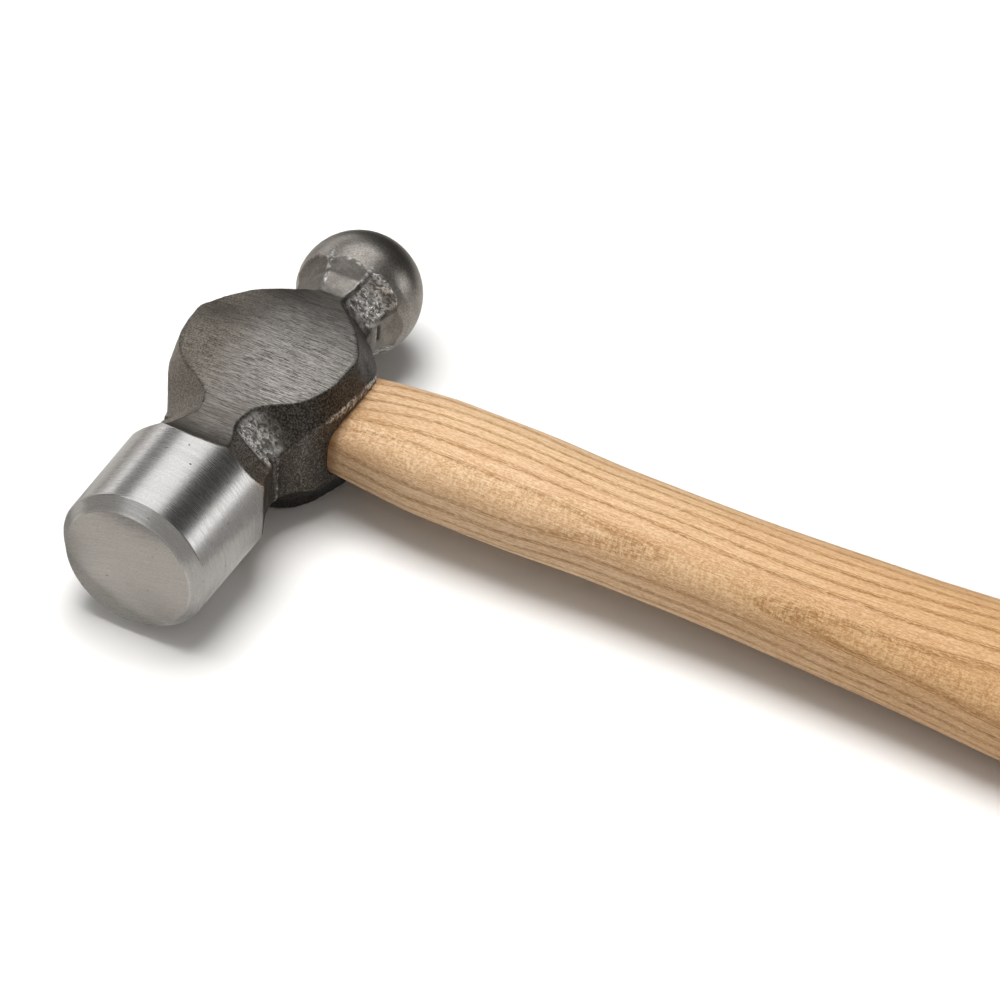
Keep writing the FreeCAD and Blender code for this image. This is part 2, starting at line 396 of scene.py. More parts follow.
def head_surface():
    """Radius of the head's skin over its rows and directions, with the marks of forging."""
    y, theta = np.meshgrid(head_rows(), np.linspace(0, 2 * math.pi, HEAD_COLUMNS, endpoint=False),
                           indexing="ij")
    cheek, side, scoop = dressed_planes(y, theta)
    turned = turned_radius(y)
    rough = np.minimum(np.minimum(cheek, side), scoop)
    points = np.stack([rough * np.cos(theta), y, rough * np.sin(theta)], -1)

    # scoops are ground by hand: shallow hollows across them, deeper ripples near the ball
    on_scoop = ramp(np.minimum(cheek, side) - scoop, 0.1, 1.2)
    sparkle = towards_handle(theta) * on_scoop * np.where(
        y > 0, ramp(y, 17.5, 20.0), ramp(y, -24.3, -23.4) * (1 - ramp(y, -20.5, -16.0)))
    ripple = lattice_noise(points, 2.2, 3) * 0.16 + lattice_noise(points, 0.9, 4) * 0.09
    scoop = scoop + on_scoop * ripple * (0.25 + 1.0 * sparkle)

    # the sides and cheeks wander a little from flat, as a hot forging does
    wander = lattice_noise(points, 9.0, 5) * 0.10
    cheek = cheek + wander
    side = side + wander + lattice_noise(points, 3.0, 6) * 0.05

    forged = smooth_min(smooth_min(cheek, side, RIDGE_SOFTNESS), scoop, SCOOP_SOFTNESS)
    forged, creased = with_creases(forged, y, theta, on_scoop)
    ridge_cheek = bump_at(cheek - scoop, 0.0, 0.42)
    ridge_side = bump_at(side - scoop, 0.0, 0.45)
    burr = burrs(points, y, theta, ridge_cheek, ridge_side, cheek - scoop, forged - turned)
    middle = ramp(y, -26.0, -20.0) * (1 - ramp(y, 29.5, 31.5))
    forged = forged + BURR_HEIGHT * burr * middle

    # fine scale all over the forged skin
    grain = lattice_noise(points, 1.1, 9) * 0.028 + lattice_noise(points, 0.5, 10) * 0.022
    forged = forged + grain

    radius = smooth_min(turned, forged, GROUND_SOFTNESS)
    radius = np.where((y > BALL_CENTRE_Y) & (turned < PLAIN_TIP_RADIUS), turned, radius)
    marks = {
        "ground": np.clip(forged - turned, -MARK_LIMIT, MARK_LIMIT),
        "cheek": np.clip(np.minimum(side, scoop) - cheek, -MARK_LIMIT, MARK_LIMIT),
        "scoop": np.clip(np.minimum(side, cheek) - scoop, -MARK_LIMIT, MARK_LIMIT),
        # partly painted highlight: ridge wear is marked only on the upper half, where the ridges catch
        # the light
        "ridge": np.clip(np.maximum(ridge_cheek, 0.6 * ridge_side) * middle * above(theta), 0, 1),
        "burr": np.clip(burr * middle, 0, 1),
        "sparkle": sparkle,
        "crease": np.clip(creased, 0, 1),
    }
    return y, theta, radius, marks


SIDE_REACH = 3  # its column in FORGED_STATIONS
FLUSH_START_X = -4.0  # only what lies beyond this place is brought in
FLUSH_MARGIN = 0.35  # how far inside the head's side the driven ends stop


def flush_with_head(piece):
    """Bring the driven ends of tenon and wedges in to follow the head's far side."""
    points = read_points(piece)
    reach = np.minimum(forged_size(SIDE_REACH, points[:, 1]) - FLUSH_MARGIN, -TENON_END_X)
    share = (reach + FLUSH_START_X) / (-TENON_END_X + FLUSH_START_X)
    moved = FLUSH_START_X + (points[:, 0] - FLUSH_START_X) * share
    points[:, 0] = np.where(points[:, 0] < FLUSH_START_X, moved, points[:, 0])
    write_points(piece, points)


def superellipse(half_y, half_z, squareness, angle):
    """Point on a rounded section at an angle round it."""
    c, s = np.cos(angle), np.sin(angle)
    power = 2 / squareness
    return half_y * np.sign(c) * np.abs(c) ** power, half_z * np.sign(s) * np.abs(s) ** power


def ring_tube(name, sections, columns):
    """Closed tube along X through (x, half_y, half_z, squareness) sections."""
    angle = np.linspace(0, 2 * math.pi, columns, endpoint=False)
    rings = []
    for x, half_y, half_z, squareness in sections:
        y, z = superellipse(half_y, half_z, squareness, angle)
        rings.append(np.stack([y * 0 + x, y, z], -1))
    vertices = np.concatenate(rings + [[[sections[0][0], 0, 0]], [[sections[-1][0], 0, 0]]])
    return new_object(name, vertices, grid_faces(len(sections), columns))


EYE_CUT_START_X, EYE_CUT_END_X, EYE_CUT_RINGS = -22.0, 15.0, 20
EYE_COLUMNS = 128


def make_eye_cutter():
    """The eye, which widens to its far end, with a relieved mouth at the handle's side."""
    table = np.array(EYE_SECTIONS)
    places = np.linspace(EYE_CUT_START_X, EYE_CUT_END_X, EYE_CUT_RINGS)
    half_y = np.interp(places, table[:, 0], table[:, 1])
    half_z = np.interp(places, table[:, 0], table[:, 2])
    sections = list(zip(places, half_y, half_z)) + EYE_MOUTH_SECTIONS
    return ring_tube("eye_cutter", [(*section, EYE_SQUARENESS) for section in sections], EYE_COLUMNS)


def make_head():
    """The whole forging as one skin, with the eye cut through it."""
    y, theta, radius, marks = head_surface()
    rows, columns = y.shape
    ring = np.stack([radius * np.cos(theta), y, radius * np.sin(theta)], -1).reshape(-1, 3)
    vertices = np.concatenate([ring, [[0, FACE_Y, 0]], [[0, BALL_TIP_Y, 0]]])
    head = new_object("hammer_head", vertices, grid_faces(rows, columns))
    for name, values in marks.items():
        ends = [values[0].mean(), values[-1].mean()]
        set_attribute(head.data, name, np.concatenate([values.ravel(), ends]))
    cut_with(head, make_eye_cutter())
    return head


# ---------------- handle and wedges
def handle_rings():
    """Sections of the handle from the tenon's end to the flat of the butt."""
    table = np.array(HANDLE_SECTIONS)
    last = table[-1, 0]
    places = np.concatenate([np.arange(TENON_END_X, 40, 0.8), np.arange(40, last, 2.0), [last]])
    sizes = [smooth_curve(table[:, 0], table[:, k], places) for k in (1, 2, 3)]
    rings = list(zip(places, *sizes))
    x, half_y, half_z, squareness = rings[-1]
    for angle in np.linspace(0, math.pi / 2, 8)[1:]:
        inset = BUTT_ROUNDING * (1 - math.cos(angle))
        rings.append((x + BUTT_ROUNDING * math.sin(angle), half_y - inset, half_z - inset, squareness))
    return rings


HANDLE_COLUMNS = 144
UNEVEN_DEPTH = 0.12  # the sanding hardly ever leaves wood outside the smooth handle


def make_handle():
    """The turned stick, a little uneven from hand sanding, with the kerf and wedge slots."""
    handle = ring_tube("hammer_handle", handle_rings(), HANDLE_COLUMNS)
    points = read_points(handle)
    sanded = ramp(points[:, 0], 17.0, 40.0) * (1 - ramp(points[:, 0], 300.0, 314.0))
    long_waves = lattice_noise(points * [0.10, 1, 1], 7.0, 21) * 0.10
    short_waves = lattice_noise(points * [0.3, 1, 1], 3.2, 22) * 0.03
    outward = points * [0, 1, 1]
    outward /= np.maximum(np.linalg.norm(outward, axis=1), TINY)[:, None]
    points += outward * ((long_waves + short_waves - UNEVEN_DEPTH) * sanded)[:, None]
    write_points(handle, points)
    cut_with(handle, plate("slot_cutter", slot_stations()))
    for centre in STEEL_WEDGE_PLACES:
        cut_with(handle, plate("slot_cutter", steel_wedge_stations(WEDGE_FIT), centre))
    flush_with_head(handle)
    return handle


PLATE_RINGS, PLATE_ACROSS, PLATE_THROUGH = 25, 15, 5
DENT_REACH = 0.8  # how far from the driven end the dent is felt


def plate(name, stations, steel_y=None, seed=0, dent=0.0):
    """Tapered plate through (x, half_thickness, half_width) stations, flat across Y as the hardwood
    wedge is, or turned square to it and centred on steel_y. A dent roughens its driven end."""
    stations = np.array(stations)
    places = np.linspace(stations[0, 0], stations[-1, 0], PLATE_RINGS)
    thickness = np.interp(places, stations[:, 0], stations[:, 1])
    width = np.interp(places, stations[:, 0], stations[:, 2])
    across, through = np.linspace(-1, 1, PLATE_ACROSS), np.linspace(-1, 1, PLATE_THROUGH)
    outline = [(a, 1) for a in across] + [(1, t) for t in through[-2:0:-1]]
    outline += [(-a, -1) for a in across] + [(-1, t) for t in through[1:-1]]
    outline = np.array(outline)
    rings = [np.stack([outline[:, 0] * 0 + x, outline[:, 0] * w, outline[:, 1] * t], -1)
             for x, t, w in zip(places, thickness, width)]
    points = np.concatenate(rings + [[[places[0], 0, 0]], [[places[-1], 0, 0]]])
    driven = 1 - ramp(points[:, 0], places[0], places[0] + DENT_REACH)
    points[:, 0] += driven * dent * (1 + lattice_noise(points * [0, 1, 1], 1.3, seed))
    points[:, 1:] += (driven * dent)[:, None] * lattice_noise(points, 1.7, seed + 1)[:, None] * 0.5
    if steel_y is not None:
        points = points[:, [0, 2, 1]] + [0, steel_y, 0]
    return new_object(name, points, grid_faces(len(places), len(outline)), smooth=False)


STEEL_WEDGE_PLACES = (-STEEL_WEDGE_SPACING / 2, STEEL_WEDGE_SPACING / 2)
WEDGE_FIT = 0.03  # a slot's clearance round its wedge
WOOD_WEDGE_HALF_WIDTHS = (11.05, 9.85)  # at its driven end and at its tip
SLOT_REACH = 20.0  # past the tenon on both sides
CUT_PAST_END = 3.0  # past the tenon's end


def wood_wedge_stations(gap=0.0):
    """The hardwood wedge's taper; a gap widens it into the slot that it sits in."""
    top, tip = WOOD_WEDGE_TOP_THICKNESS / 2 + gap, KERF_THICKNESS / 2 + gap
    top_width, tip_width = WOOD_WEDGE_HALF_WIDTHS
    return [(TENON_END_X - gap, top, top_width), (WOOD_WEDGE_TIP_X + gap, tip, tip_width)]


def slot_stations():
    """The saw kerf with the hardwood wedge's room, out past the tenon on both sides and its end."""
    top, tip = wood_wedge_stations(WEDGE_FIT)
    taper = (top[1] - tip[1]) / (tip[0] - top[0])
    return [(top[0] - CUT_PAST_END, top[1] + taper * CUT_PAST_END, SLOT_REACH),
            (tip[0], tip[1], SLOT_REACH), (KERF_END_X, KERF_THICKNESS / 2, SLOT_REACH)]


def steel_wedge_stations(gap=0.0):
    """A small steel wedge's taper; a gap widens it into the slot that it cuts for itself."""
    start = TENON_END_X - CUT_PAST_END * (gap > 0)
    return [(start, STEEL_WEDGE_TOP_THICKNESS / 2 + gap, STEEL_WEDGE_WIDTH / 2 + gap),
            (TENON_END_X + STEEL_WEDGE_DEPTH, STEEL_WEDGE_TIP_THICKNESS / 2 + gap,
             STEEL_WEDGE_WIDTH / 2 + gap)]


def bevel_edges(piece, width):
    """Small bevels, in millimetres, along the piece's sharp edges."""
    edge = piece.modifiers.new("edge", "BEVEL")
    edge.width = width * MM
    edge.segments = 2
    edge.limit_method = "ANGLE"


def make_wedges():
    """The hardwood wedge and the two steel ones across it."""
    wood = plate("hardwood_wedge", wood_wedge_stations(), seed=31, dent=0.10)
    for centre in STEEL_WEDGE_PLACES:
        cut_with(wood, plate("slot_cutter", steel_wedge_stations(WEDGE_FIT), centre))
    flush_with_head(wood)
    bevel_edges(wood, 0.12)
    steel = []
    for index, centre in enumerate(STEEL_WEDGE_PLACES):
        piece = plate("steel_wedge_" + "ab"[index] + "_visible", steel_wedge_stations(), centre,
                      seed=41 + 5 * index, dent=0.14)
        flush_with_head(piece)
        bevel_edges(piece, 0.18)
        steel.append(piece)
    return wood, steel


# ---------------- materials
class Nodes:
    """Short ways to write a node tree."""

    def __init__(self, tree):
        self.tree = tree

    def make(self, kind, inputs=None, **settings):
        """A new node with its inputs fed and its settings set."""
        node = self.tree.nodes.new(kind)
        for key, value in settings.items():
            setattr(node, key, value)
        for key, value in (inputs or {}).items():
            self.feed(node.inputs[key], value)
        return node

    def feed(self, socket, value):
        """Link another node's output to the socket, or set the socket's own value."""
        if isinstance(value, bpy.types.NodeSocket):
            self.tree.links.new(value, socket)
        else:
            socket.default_value = value

    def calc(self, operation, a, b=0.0):
        """One arithmetic step between numbers."""
        return self.make("ShaderNodeMath", {0: a, 1: b}, operation=operation).outputs[0]

    def plus(self, a, b):
        return self.calc("ADD", a, b)

    def minus(self, a, b):
        return self.calc("SUBTRACT", a, b)

    def times(self, a, b):
        return self.calc("MULTIPLY", a, b)

    def mixture(self, *terms):
        """Sum of two values, each times its own factor."""
        (a, a_factor), (b, b_factor) = terms
        return self.plus(self.times(a, a_factor), self.times(b, b_factor))

    def vector(self, operation, a, b, output=0):
        """One arithmetic step between vectors."""
        return self.make("ShaderNodeVectorMath", {0: a, 1: b}, operation=operation).outputs[output]

    def level(self, value, low, high, start=0.0, end=1.0):
        """Value from low to high becomes start to end, smoothly, and stays there beyond."""
        node = self.make("ShaderNodeMapRange", {"Value": value, "From Min": low, "From Max": high,
                                                "To Min": start, "To Max": end},
                         interpolation_type="SMOOTHSTEP")
        return node.outputs["Result"]

    def blend(self, share, a, b, how="MIX"):
        """Colour between a and b."""
        node = self.make("ShaderNodeMix", {0: share, 6: a, 7: b}, data_type="RGBA", blend_type=how)
        return node.outputs[2]


class Finish(Nodes):
    """A material under construction round a Principled shader."""

    def __init__(self, name, **sockets):
        self.material = bpy.data.materials.new(name)
        self.material.use_nodes = True
        super().__init__(self.material.node_tree)
        self.shader = self.tree.nodes["Principled BSDF"]
        self.place = self.make("ShaderNodeTexCoord").outputs["Object"]
        self.show(**sockets)

    def axis(self, name):
        """One of the drawing's coordinates, in metres."""
        return self.make("ShaderNodeSeparateXYZ", {0: self.place}).outputs[name]

    def noise(self, x, y=None, z=None, detail=2.0, roughness=0.5, distortion=0.0, place=None):
        """Noise with lumps of x by y by z millimetres."""
        scale = tuple(1 / (size * MM) for size in (x, y or x, z or x))
        counted = self.vector("MULTIPLY", place or self.place, scale)
        return self.make("ShaderNodeTexNoise", {"Vector": counted, "Scale": 1.0, "Detail": detail,
                                                "Roughness": roughness, "Distortion": distortion}
                         ).outputs["Fac"]

    def mark(self, name):
        """A number stored on the mesh."""
        return self.make("ShaderNodeAttribute", attribute_name=name,
                         attribute_type="GEOMETRY").outputs["Fac"]

    def relief(self, height):
        """Bump from a height in millimetres."""
        return self.make("ShaderNodeBump", {"Height": height, "Distance": MM, "Strength": 1.0}
                         ).outputs["Normal"]

    def show(self, **sockets):
        """Set or connect sockets of the shader, named with _ for each space."""
        for socket, value in sockets.items():
            self.feed(self.shader.inputs[socket.replace("_", " ")], value)
        return self.material


def grey(value, warmth=0.0):
    """Neutral colour, a little warmer with more red and less blue."""
    return (value * (1 + warmth), value, value * (1 - 1.2 * warmth), 1.0)


# angle by which the striking face's straight lines are turned round the head's axis
DISC_LINES_TURN = math.radians(14)
# where along the head a finish begins and where it is complete, in metres
DISC_FINISH = (FACE_Y * MM + 0.00022, FACE_Y * MM + 0.00008)
NECK_SCALE = (-0.0235, -0.0245)
NECK_STAIN = (-0.0155, -0.0215)
PITTED_FINISH = (0.0, -0.01)
BALL_FINISH = (0.020, 0.026)
FACET_FINISH = (0.0215, 0.0235)


def head_patterns(f):
    """The head's zones, each a share from nothing to all, and the patterns they are drawn with."""
    x, y = f.axis("X"), f.axis("Y")
    sparkle = f.mark("sparkle")
    on_disc = f.level(y, *DISC_FINISH)

    # brushing runs round the head's axis; on the striking face it runs straight across
    across = f.make("ShaderNodeVectorRotate",
                    {"Vector": f.place, "Axis": (0, 1, 0), "Angle": DISC_LINES_TURN},
                    rotation_type="AXIS_ANGLE").outputs[0]
    ring_lines = f.noise(9, 0.15, 9, detail=3, roughness=0.7)
    disc_lines = f.noise(9, 9, 0.13, detail=3, roughness=0.65, place=across)
    pits = f.level(f.noise(0.8, detail=0), 0.85, 0.87)
    patches = f.noise(9.0, detail=3, roughness=0.55, distortion=0.6)
    return SimpleNamespace(
        x=x, y=y, sparkle=sparkle, on_disc=on_disc, patches=patches,
        is_ground=f.level(f.mark("ground"), -0.10, 0.14),
        is_cheek=f.level(f.mark("cheek"), -0.05, 0.35),
        is_scoop=f.level(f.mark("scoop"), -0.05, 0.35),
        is_ball=f.level(y, *BALL_FINISH),
        is_facet=f.times(f.level(y, *FACET_FINISH), f.minus(1.0, sparkle)),
        brush=f.blend(on_disc, ring_lines, disc_lines),
        pits=f.times(pits, f.level(y, *PITTED_FINISH)),
        # cheeks are belt-ground along the handle, brightly only near it: broken wavy lines
        belt=f.noise(3.6, 0.150, 3.6, detail=2.0, roughness=0.55, distortion=0.18),
        belt_fine=f.noise(0.8, 0.13, 0.8, detail=2, roughness=0.6),
        belted=f.level(f.plus(x, f.times(patches, 0.003)), -0.0085, 0.0035),
        chatter=f.noise(1.7, 0.60, 0.70, detail=2, roughness=0.50, distortion=0.8),
        scale_coarse=f.noise(1.7, detail=4, roughness=0.6),
        scale_fine=f.noise(0.42, detail=3, roughness=0.6),
        speckle=f.noise(0.36, detail=2.5, roughness=0.62),
        stain=f.noise(4.5, 2.6, 4.5, detail=4, roughness=0.6),
    )


def scale_colour(f, p):
    """Forging scale, as left by the fire."""
    colour = f.blend(f.level(p.scale_coarse, 0.35, 0.68), grey(0.070, 0.13), grey(0.115, 0.11))
    colour = f.blend(f.level(p.speckle, 0.50, 0.66, 0, 0.75), colour, grey(0.30, 0.08))
    return f.blend(f.level(p.speckle, 0.36, 0.48, 0.7, 0.0), colour, grey(0.05, 0.12))


def cheek_colour(f, p):
    """Bright belt lines near the handle, mostly scale on the far half, and stains at the neck."""
    bright = f.blend(f.level(p.belt, 0.37, 0.62), grey(0.085, 0.11), grey(0.34, 0.06))
    bright = f.blend(f.level(p.belt_fine, 0.46, 0.62, 0.0, 0.60), bright, grey(0.40, 0.05))
    bright = f.blend(f.level(p.belt_fine, 0.34, 0.46, 0.45, 0.0), bright, grey(0.07, 0.10))
    dull = f.blend(f.level(p.speckle, 0.40, 0.62), grey(0.075, 0.15), grey(0.190, 0.13))
    dull = f.blend(f.level(p.belt, 0.46, 0.58, 0.0, 0.42), dull, grey(0.215, 0.12))
    dull = f.blend(f.level(p.belt, 0.40, 0.46, 0.36, 0.0), dull, grey(0.06, 0.12))
    colour = f.blend(p.belted, dull, bright)
    colour = f.blend(f.level(p.y, *NECK_STAIN, 0.0, 0.55), colour, grey(0.12, 0.12))
    return f.blend(f.level(p.patches, 0.44, 0.68, 0.0, 0.30), colour, grey(0.13, 0.10))


def scoop_colour(f, p):
    """Dull scoops, paler on the far side and darker on the handle's side as painted light and shade,
    paler at the poll's neck, with bright chatter marks whose colour is partly a painted glint.
    """
    foil = f.noise(2.4, detail=2, roughness=0.5)
    # partly painted highlight: the real ground chatter marks are coloured near white, standing in for
    # their glint
    bright = f.blend(f.level(p.chatter, 0.38, 0.57), grey(0.20, 0.06), grey(0.80, 0.03))
    bright = f.blend(f.level(foil, 0.36, 0.54, 0.70, 0.0), bright, grey(0.12, 0.08))
    # painted light and shade: scoops on the far side are coloured paler and those on the handle's side
    # darker, for how the light falls on them
    lit_far_side = f.level(p.x, -0.001, -0.004)
    low = f.blend(lit_far_side, grey(0.025, 0.12), grey(0.16, 0.11))
    high = f.blend(lit_far_side, grey(0.110, 0.10), grey(0.28, 0.10))
    dull = f.blend(f.level(p.speckle, 0.40, 0.64), low, high)
    neck = f.blend(f.level(p.speckle, 0.38, 0.62), grey(0.08, 0.11), grey(0.42, 0.08))
    dull = f.blend(f.level(p.y, *NECK_SCALE), dull, neck)
    return f.blend(p.sparkle, dull, bright)


def facet_colour(f, p):
    """The flats beside the ball that were only roughly ground."""
    colour = f.blend(f.level(p.stain, 0.35, 0.65), grey(0.16, 0.09), grey(0.23, 0.08))
    return f.blend(f.level(p.speckle, 0.34, 0.62, 0.40, 0.0), colour, grey(0.08, 0.10))


def ground_colour(f, p):
    """Ground steel: brushed poll with a warmer striking face in a bright rim of painted highlight, and
    a duller ball.
    """
    poll = f.blend(f.level(p.brush, 0.36, 0.66), grey(0.43, 0.02), grey(0.48, 0.015))
    disc = f.blend(f.level(p.brush, 0.36, 0.66), grey(0.415, 0.05), grey(0.465, 0.045))
    # painted highlight: a bright ring along the striking face's edge
    rim = f.times(f.level(p.y, (FACE_Y + 0.50) * MM, (FACE_Y + 0.30) * MM),
                  f.level(p.y, (FACE_Y + 0.02) * MM, (FACE_Y + 0.12) * MM))
    poll = f.blend(p.on_disc, poll, disc)
    poll = f.blend(f.times(rim, 0.5), poll, grey(0.62, 0.02))
    ball = f.blend(f.level(p.stain, 0.35, 0.68), grey(0.235, 0.09), grey(0.325, 0.08))
    ball = f.blend(f.level(p.speckle, 0.34, 0.50, 0.60, 0.0), ball, grey(0.13, 0.10))
    ball = f.blend(f.level(p.speckle, 0.50, 0.66, 0.0, 0.45), ball, grey(0.45, 0.06))
    grain = f.level(f.noise(0.24, detail=1, roughness=0.6), 0.3, 0.7, 0.0, 0.34)
    return f.blend(grain, f.blend(p.is_ball, poll, ball), grey(0.24, 0.03))


def head_colour(f, p):
    """The zones' colours together, then creases darkened as painted shade, worn ridges with a painted
    highlight on the upper half, bright burrs and pits.
    """
    colour = f.blend(p.is_scoop, scale_colour(f, p), scoop_colour(f, p))
    colour = f.blend(p.is_cheek, colour, cheek_colour(f, p))
    colour = f.blend(p.is_facet, colour, facet_colour(f, p))
    colour = f.blend(p.is_ground, colour, ground_colour(f, p))
    # painted shade: creases and the slot beside the ball are darkened almost to black
    colour = f.blend(f.times(f.mark("crease"), 0.90), colour, grey(0.04, 0.08))
    # worn steel along the ridges, with painted highlight: only the upper ridges are marked
    worn_and_highlit = f.times(f.mark("ridge"), f.level(f.noise(1.1, detail=3), 0.42, 0.62))
    colour = f.blend(f.times(worn_and_highlit, 0.20), colour, grey(0.45, 0.03))
    burred = f.times(f.level(f.mark("burr"), 0.10, 0.40), f.level(p.chatter, 0.44, 0.56, 0.10, 1.0))
    colour = f.blend(burred, colour, grey(0.66, 0.0))
    return f.blend(f.times(p.pits, p.is_ground), colour, grey(0.12, 0.04))


def head_roughness(f, p):
    """Roughness of each zone."""
    forged = f.level(p.scale_fine, 0.3, 0.7, 0.42, 0.60)
    scoop = f.blend(p.sparkle, forged, f.level(p.chatter, 0.3, 0.7, 0.42, 0.25))
    ground = f.plus(f.level(p.brush, 0.3, 0.7, 0.30, 0.22), f.times(p.is_ball, 0.10))
    rough = f.blend(p.is_scoop, forged, scoop)
    rough = f.blend(p.is_cheek, rough, f.level(p.belt, 0.3, 0.7, 0.50, 0.36))
    rough = f.blend(p.is_facet, rough, f.level(p.stain, 0.35, 0.65, 0.36, 0.28))
    return f.blend(p.is_ground, rough, ground)


def head_relief(f, p):
    """Height of each zone's fine marks, in millimetres."""
    forged = f.mixture((p.scale_coarse, 0.085), (p.speckle, 0.08))
    scoop = f.plus(f.times(f.times(p.chatter, 0.24), p.sparkle), f.times(p.speckle, 0.09))
    cheek = f.blend(p.belted, f.mixture((p.speckle, 0.08), (p.belt, 0.03)),
                    f.mixture((p.belt, 0.07), (p.belt_fine, 0.03)))
    ground = f.blend(p.is_ball, f.times(p.brush, 0.0046), f.times(p.speckle, 0.020))
    ground = f.minus(ground, f.times(p.pits, 0.10))
    high = f.blend(p.is_scoop, forged, scoop)
    high = f.blend(p.is_cheek, high, cheek)
    high = f.blend(p.is_facet, high, f.times(p.scale_fine, 0.010))
    return f.blend(p.is_ground, high, ground)


def head_finish():
    """Ground steel on poll, ball and cheeks; forging scale elsewhere; worn bright along ridges, with a
    painted highlight that only the upper ones get.
    """
    f = Finish("head_forged_steel", Metallic=1.0, Anisotropic=0.40)
    p = head_patterns(f)
    around = f.vector("CROSS_PRODUCT", f.place, (0, -1, 0))
    straight = (math.cos(DISC_LINES_TURN), 0.0, math.sin(DISC_LINES_TURN))
    tangent = f.make("ShaderNodeMix", {0: p.on_disc, 4: around, 5: straight}, data_type="VECTOR")
    return f.show(Base_Color=head_colour(f, p), Roughness=head_roughness(f, p),
                  Normal=f.relief(head_relief(f, p)), Tangent=tangent.outputs[1])


# the growth rings' centre line is outside the handle, so that the rings lie flat to its near edge
PITH_Y, PITH_Z = 38.0, -34.0
PITH_DRIFT = 0.028  # sideways for each step along the handle
RING_WIDTH = 1.9
BROWN, DARK_BROWN = (0.38, 0.20, 0.058, 1), (0.24, 0.110, 0.022, 1)
CREAM, PINK = (0.80, 0.61, 0.40, 1), (0.60, 0.36, 0.24, 1)
RIPENED, SOILED_AND_SHADED = (0.88, 0.79, 0.64, 1), (0.42, 0.34, 0.27, 1)  # these multiply the wood's colour


def wood_finish(name, light, deep, shift=0.0, gloss=0.42):
    """Ash: pale late wood, porous early wood in each growth ring, and fine fibres along the grain.
    A shift along the grain, in metres, gives another piece of the same tree."""
    f = Finish(name, Specular_IOR_Level=0.42)
    f.place = f.vector("ADD", f.place, (shift, 0, 0))
    split = f.make("ShaderNodeSeparateXYZ", {0: f.place})
    x, y, z = (split.outputs[axis] for axis in "XYZ")
    wave = f.times(f.minus(f.noise(90, 14, 14, detail=2), 0.5), 0.0052)
    drift = f.times(x, PITH_DRIFT)
    from_y = f.minus(f.plus(y, drift), PITH_Y * MM)
    from_z = f.minus(z, PITH_Z * MM)
    reach = f.calc("SQRT", f.mixture((from_y, from_y), (from_z, from_z)))
    ring = f.times(f.plus(reach, wave), 1 / (RING_WIDTH * MM))
    phase = f.calc("FRACT", ring)
    year = f.calc("FLOOR", ring)
    tone = f.make("ShaderNodeTexWhiteNoise", {"W": year}, noise_dimensions="1D").outputs["Value"]

    early = f.times(f.level(phase, 0.0, 0.06), f.level(phase, 0.32, 0.14))
    edge = f.times(f.level(phase, 0.90, 0.97), f.level(phase, 1.0, 0.99))
    pores = f.level(f.noise(1.8, 0.24, 0.24, detail=2, roughness=0.7), 0.48, 0.56)
    fibres = f.noise(14, 0.30, 0.30, detail=3, roughness=0.7)
    sand = f.noise(0.9, 0.24, 0.24, detail=1.5, roughness=0.7)
    streaks = f.noise(70, 1.0, 1.0, detail=3, roughness=0.6)
    blush = f.noise(60, 12, 12, detail=1)

    # rays show as a ladder of short pale bars where the surface runs flat to the rings
    pith_reach = math.hypot(PITH_Y, PITH_Z)
    waver = f.minus(f.noise(25, detail=1), 0.5)
    off_centre = f.mixture((f.plus(y, drift), -PITH_Z / pith_reach), (z, PITH_Y / pith_reach))
    off_centre = f.calc("ABSOLUTE", f.plus(off_centre, f.times(waver, 0.003)))
    bars = f.level(f.noise(0.50, 1.1, 1.1, detail=1, roughness=0.6), 0.46, 0.58)
    ladder = f.times(f.level(off_centre, 0.0030, 0.0018), bars)
    dots = f.level(f.noise(0.42, 0.26, 0.26, detail=1.0), 0.48, 0.58)
    dotted = f.times(f.level(off_centre, 0.0060, 0.0030), dots)

    colour = f.blend(tone, light, deep)
    colour = f.blend(f.level(streaks, 0.42, 0.58, 0.45, 0.0), colour, deep)
    colour = f.blend(f.times(early, 0.46), colour, BROWN)
    colour = f.blend(f.times(edge, 0.82), colour, DARK_BROWN)
    colour = f.blend(f.times(f.times(early, pores), 0.80), colour, DARK_BROWN)
    colour = f.blend(f.times(dotted, 0.60), colour, BROWN)
    colour = f.blend(f.times(ladder, 0.40), colour, CREAM)
    colour = f.blend(f.level(fibres, 0.36, 0.48, 0.40, 0.0), colour, BROWN)
    colour = f.blend(f.level(fibres, 0.52, 0.64, 0.0, 0.30), colour, CREAM)
    colour = f.blend(f.level(sand, 0.34, 0.50, 0.44, 0.0), colour, BROWN)
    colour = f.blend(f.level(sand, 0.50, 0.66, 0.0, 0.34), colour, CREAM)
    colour = f.blend(f.level(blush, 0.4, 0.7, 0, 0.12), colour, PINK)
    colour = f.blend(f.level(x, 0.04, 0.15), colour, f.blend(1.0, colour, RIPENED, "MULTIPLY"))

    # the steel's dirt in a narrow ring right at the eye, and milder painted shade on the wood out to
    # 40 mm from the eye
    mouth = f.plus(x, f.times(sand, 0.0015))
    dirt_and_shade = f.plus(f.level(mouth, 0.0182, 0.0205, 0.65, 0.0), f.level(mouth, 0.018, 0.040, 0.24, 0.0))
    colour = f.blend(dirt_and_shade, colour, f.blend(1.0, colour, SOILED_AND_SHADED, "MULTIPLY"))

    rough = f.level(fibres, 0.3, 0.7, gloss + 0.10, gloss)
    high = f.mixture((fibres, 0.030), (sand, 0.040))
    high = f.minus(high, f.times(f.times(early, pores), 0.050))
    return f.show(Base_Color=colour, Roughness=rough, Normal=f.relief(high))


